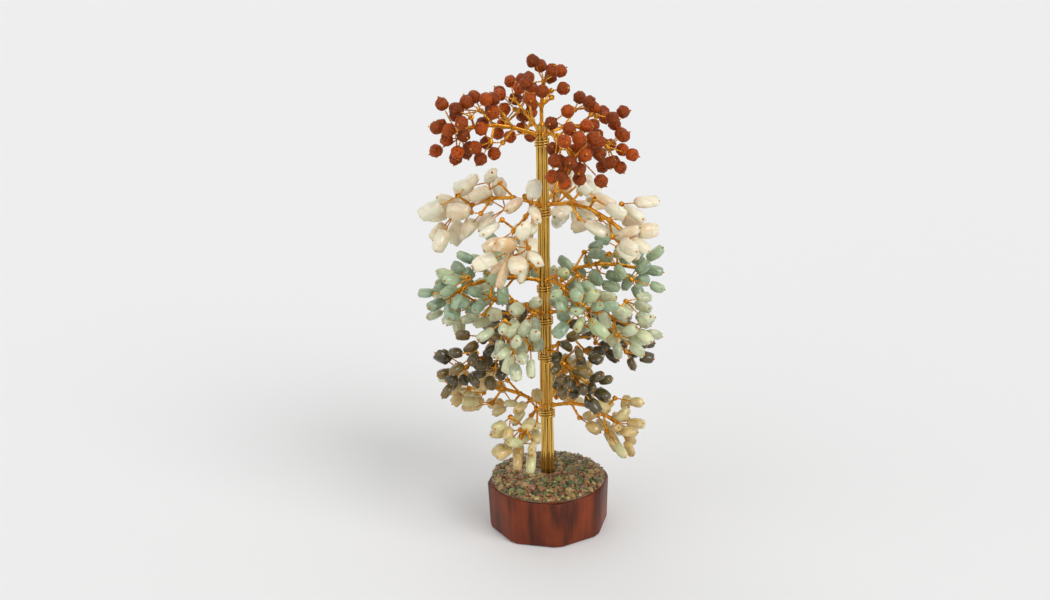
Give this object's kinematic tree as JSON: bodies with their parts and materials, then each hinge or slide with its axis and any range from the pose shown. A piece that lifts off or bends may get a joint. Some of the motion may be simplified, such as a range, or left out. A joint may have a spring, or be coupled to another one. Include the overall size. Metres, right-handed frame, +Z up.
{
  "type": "gemstone tree ornament",
  "caption": "Bendable gold-wire tree with tiers of drilled stone chips and a crown of seed beads, set in gravel on a faceted wooden base.",
  "frame": {"origin": "middle of the wooden base's flat foot", "axes": "+Z up along the trunk, -Y towards the front of the picture, +X to the right"},
  "size_m": [0.1378, 0.1226, 0.2758],
  "materials": {
    "base_wood": "varnished",
    "glue": "glossy",
    "gravel_green": "tumbled",
    "gravel_amber": "tumbled",
    "gravel_red": "tumbled",
    "gold_wire": "polished",
    "seed_bead": "matte",
    "milky_stone": "polished",
    "greygreen_stone": "polished",
    "palegreen_stone": "polished",
    "dark_stone": "polished",
    "yellow_stone": "polished"
  },
  "bodies": {
    "trunk_and_base": {"wooden_base": "base_wood", "glue_bed": "glue", "gravel_green": "gravel_green", "gravel_amber": "gravel_amber", "gravel_red": "gravel_red", "trunk_strands": "gold_wire", "trunk_core": "gold_wire", "trunk_bindings": "gold_wire"},
    "seed_branch_1": {"seed_branch_1_wires": "gold_wire", "seed_branch_1_stones": "seed_bead"},
    "seed_branch_2": {"seed_branch_2_wires": "gold_wire", "seed_branch_2_stones": "seed_bead"},
    "seed_branch_3": {"seed_branch_3_wires": "gold_wire", "seed_branch_3_stones": "seed_bead"},
    "seed_branch_4": {"seed_branch_4_wires": "gold_wire", "seed_branch_4_stones": "seed_bead"},
    "milky_branch_1": {"milky_branch_1_wires": "gold_wire", "milky_branch_1_stones": "milky_stone"},
    "milky_branch_2": {"milky_branch_2_wires": "gold_wire", "milky_branch_2_stones": "milky_stone"},
    "milky_branch_3": {"milky_branch_3_wires": "gold_wire", "milky_branch_3_stones": "milky_stone"},
    "milky_branch_4": {"milky_branch_4_wires": "gold_wire", "milky_branch_4_stones": "milky_stone"},
    "greygreen_branch_1": {"greygreen_branch_1_wires": "gold_wire", "greygreen_branch_1_stones": "greygreen_stone"},
    "greygreen_branch_2": {"greygreen_branch_2_wires": "gold_wire", "greygreen_branch_2_stones": "greygreen_stone"},
    "greygreen_branch_3": {"greygreen_branch_3_wires": "gold_wire", "greygreen_branch_3_stones": "greygreen_stone"},
    "greygreen_branch_4": {"greygreen_branch_4_wires": "gold_wire", "greygreen_branch_4_stones": "greygreen_stone"},
    "palegreen_branch_1": {"palegreen_branch_1_wires": "gold_wire", "palegreen_branch_1_stones": "palegreen_stone"},
    "palegreen_branch_2": {"palegreen_branch_2_wires": "gold_wire", "palegreen_branch_2_stones": "palegreen_stone"},
    "palegreen_branch_3": {"palegreen_branch_3_wires": "gold_wire", "palegreen_branch_3_stones": "palegreen_stone"},
    "palegreen_branch_4": {"palegreen_branch_4_wires": "gold_wire", "palegreen_branch_4_stones": "palegreen_stone"},
    "dark_branch_1": {"dark_branch_1_wires": "gold_wire", "dark_branch_1_stones": "dark_stone"},
    "dark_branch_2": {"dark_branch_2_wires": "gold_wire", "dark_branch_2_stones": "dark_stone"},
    "dark_branch_3": {"dark_branch_3_wires": "gold_wire", "dark_branch_3_stones": "dark_stone"},
    "dark_branch_4": {"dark_branch_4_wires": "gold_wire", "dark_branch_4_stones": "dark_stone"},
    "yellow_branch_1": {"yellow_branch_1_wires": "gold_wire", "yellow_branch_1_stones": "yellow_stone"},
    "yellow_branch_2": {"yellow_branch_2_wires": "gold_wire", "yellow_branch_2_stones": "yellow_stone"},
    "yellow_branch_3": {"yellow_branch_3_wires": "gold_wire", "yellow_branch_3_stones": "yellow_stone"},
    "yellow_branch_4": {"yellow_branch_4_wires": "gold_wire", "yellow_branch_4_stones": "yellow_stone"},
    "leader": {"leader_wires": "gold_wire", "leader_stones": "seed_bead"}
  },
  "joints": [
    {"name": "seed_branch_1_bend", "type": "hinge", "parent": "trunk_and_base", "child": "seed_branch_1", "pos_m": [0.00325, 0.00135, 0.231], "axis": [0.3827, -0.9239, 0], "range_deg": [-8, 7]},
    {"name": "seed_branch_2_bend", "type": "hinge", "parent": "trunk_and_base", "child": "seed_branch_2", "pos_m": [-0.00135, 0.00325, 0.231], "axis": [0.9239, 0.3827, 0], "range_deg": [-8, 7]},
    {"name": "seed_branch_3_bend", "type": "hinge", "parent": "trunk_and_base", "child": "seed_branch_3", "pos_m": [-0.00325, -0.00135, 0.231], "axis": [-0.3827, 0.9239, 0], "range_deg": [-8, 7]},
    {"name": "seed_branch_4_bend", "type": "hinge", "parent": "trunk_and_base", "child": "seed_branch_4", "pos_m": [0.00135, -0.00325, 0.231], "axis": [-0.9239, -0.3827, 0], "range_deg": [-8, 7]},
    {"name": "milky_branch_1_bend", "type": "hinge", "parent": "trunk_and_base", "child": "milky_branch_1", "pos_m": [0.00338, -0.0014, 0.192], "axis": [-0.3827, -0.9239, 0], "range_deg": [-8, 10]},
    {"name": "milky_branch_2_bend", "type": "hinge", "parent": "trunk_and_base", "child": "milky_branch_2", "pos_m": [0.0014, 0.00338, 0.192], "axis": [0.9239, -0.3827, 0], "range_deg": [-8, 10]},
    {"name": "milky_branch_3_bend", "type": "hinge", "parent": "trunk_and_base", "child": "milky_branch_3", "pos_m": [-0.00338, 0.0014, 0.192], "axis": [0.3827, 0.9239, 0], "range_deg": [-8, 10]},
    {"name": "milky_branch_4_bend", "type": "hinge", "parent": "trunk_and_base", "child": "milky_branch_4", "pos_m": [-0.0014, -0.00338, 0.192], "axis": [-0.9239, 0.3827, 0], "range_deg": [-8, 10]},
    {"name": "greygreen_branch_1_bend", "type": "hinge", "parent": "trunk_and_base", "child": "greygreen_branch_1", "pos_m": [0.00352, 0.00146, 0.149], "axis": [0.3827, -0.9239, 0], "range_deg": [-5, 11]},
    {"name": "greygreen_branch_2_bend", "type": "hinge", "parent": "trunk_and_base", "child": "greygreen_branch_2", "pos_m": [-0.00146, 0.00352, 0.149], "axis": [0.9239, 0.3827, 0], "range_deg": [-5, 11]},
    {"name": "greygreen_branch_3_bend", "type": "hinge", "parent": "trunk_and_base", "child": "greygreen_branch_3", "pos_m": [-0.00352, -0.00146, 0.149], "axis": [-0.3827, 0.9239, 0], "range_deg": [-5, 11]},
    {"name": "greygreen_branch_4_bend", "type": "hinge", "parent": "trunk_and_base", "child": "greygreen_branch_4", "pos_m": [0.00146, -0.00352, 0.149], "axis": [-0.9239, -0.3827, 0], "range_deg": [-5, 11]},
    {"name": "palegreen_branch_1_bend", "type": "hinge", "parent": "trunk_and_base", "child": "palegreen_branch_1", "pos_m": [0.00358, -0.00148, 0.13], "axis": [-0.3827, -0.9239, 0], "range_deg": [-9, 12]},
    {"name": "palegreen_branch_2_bend", "type": "hinge", "parent": "trunk_and_base", "child": "palegreen_branch_2", "pos_m": [0.00148, 0.00358, 0.13], "axis": [0.9239, -0.3827, 0], "range_deg": [-9, 12]},
    {"name": "palegreen_branch_3_bend", "type": "hinge", "parent": "trunk_and_base", "child": "palegreen_branch_3", "pos_m": [-0.00358, 0.00148, 0.13], "axis": [0.3827, 0.9239, 0], "range_deg": [-9, 12]},
    {"name": "palegreen_branch_4_bend", "type": "hinge", "parent": "trunk_and_base", "child": "palegreen_branch_4", "pos_m": [-0.00148, -0.00358, 0.13], "axis": [-0.9239, 0.3827, 0], "range_deg": [-9, 12]},
    {"name": "dark_branch_1_bend", "type": "hinge", "parent": "trunk_and_base", "child": "dark_branch_1", "pos_m": [0.00365, 0.00151, 0.108], "axis": [0.3827, -0.9239, 0], "range_deg": [-12, 5]},
    {"name": "dark_branch_2_bend", "type": "hinge", "parent": "trunk_and_base", "child": "dark_branch_2", "pos_m": [-0.00151, 0.00365, 0.108], "axis": [0.9239, 0.3827, 0], "range_deg": [-12, 5]},
    {"name": "dark_branch_3_bend", "type": "hinge", "parent": "trunk_and_base", "child": "dark_branch_3", "pos_m": [-0.00365, -0.00151, 0.108], "axis": [-0.3827, 0.9239, 0], "range_deg": [-12, 5]},
    {"name": "dark_branch_4_bend", "type": "hinge", "parent": "trunk_and_base", "child": "dark_branch_4", "pos_m": [0.00151, -0.00365, 0.108], "axis": [-0.9239, -0.3827, 0], "range_deg": [-12, 5]},
    {"name": "yellow_branch_1_bend", "type": "hinge", "parent": "trunk_and_base", "child": "yellow_branch_1", "pos_m": [0.00376, -0.00156, 0.074], "axis": [-0.3827, -0.9239, 0], "range_deg": [-10, 12]},
    {"name": "yellow_branch_2_bend", "type": "hinge", "parent": "trunk_and_base", "child": "yellow_branch_2", "pos_m": [0.00156, 0.00376, 0.074], "axis": [0.9239, -0.3827, 0], "range_deg": [-10, 12]},
    {"name": "yellow_branch_3_bend", "type": "hinge", "parent": "trunk_and_base", "child": "yellow_branch_3", "pos_m": [-0.00376, 0.00156, 0.074], "axis": [0.3827, 0.9239, 0], "range_deg": [-10, 12]},
    {"name": "yellow_branch_4_bend", "type": "hinge", "parent": "trunk_and_base", "child": "yellow_branch_4", "pos_m": [-0.00156, -0.00376, 0.074], "axis": [-0.9239, 0.3827, 0], "range_deg": [-10, 12]},
    {"name": "leader_bend", "type": "hinge", "parent": "trunk_and_base", "child": "leader", "pos_m": [0, 0, 0.2362], "axis": [0, 1, 0], "range_deg": [-5, 5]}
  ]
}
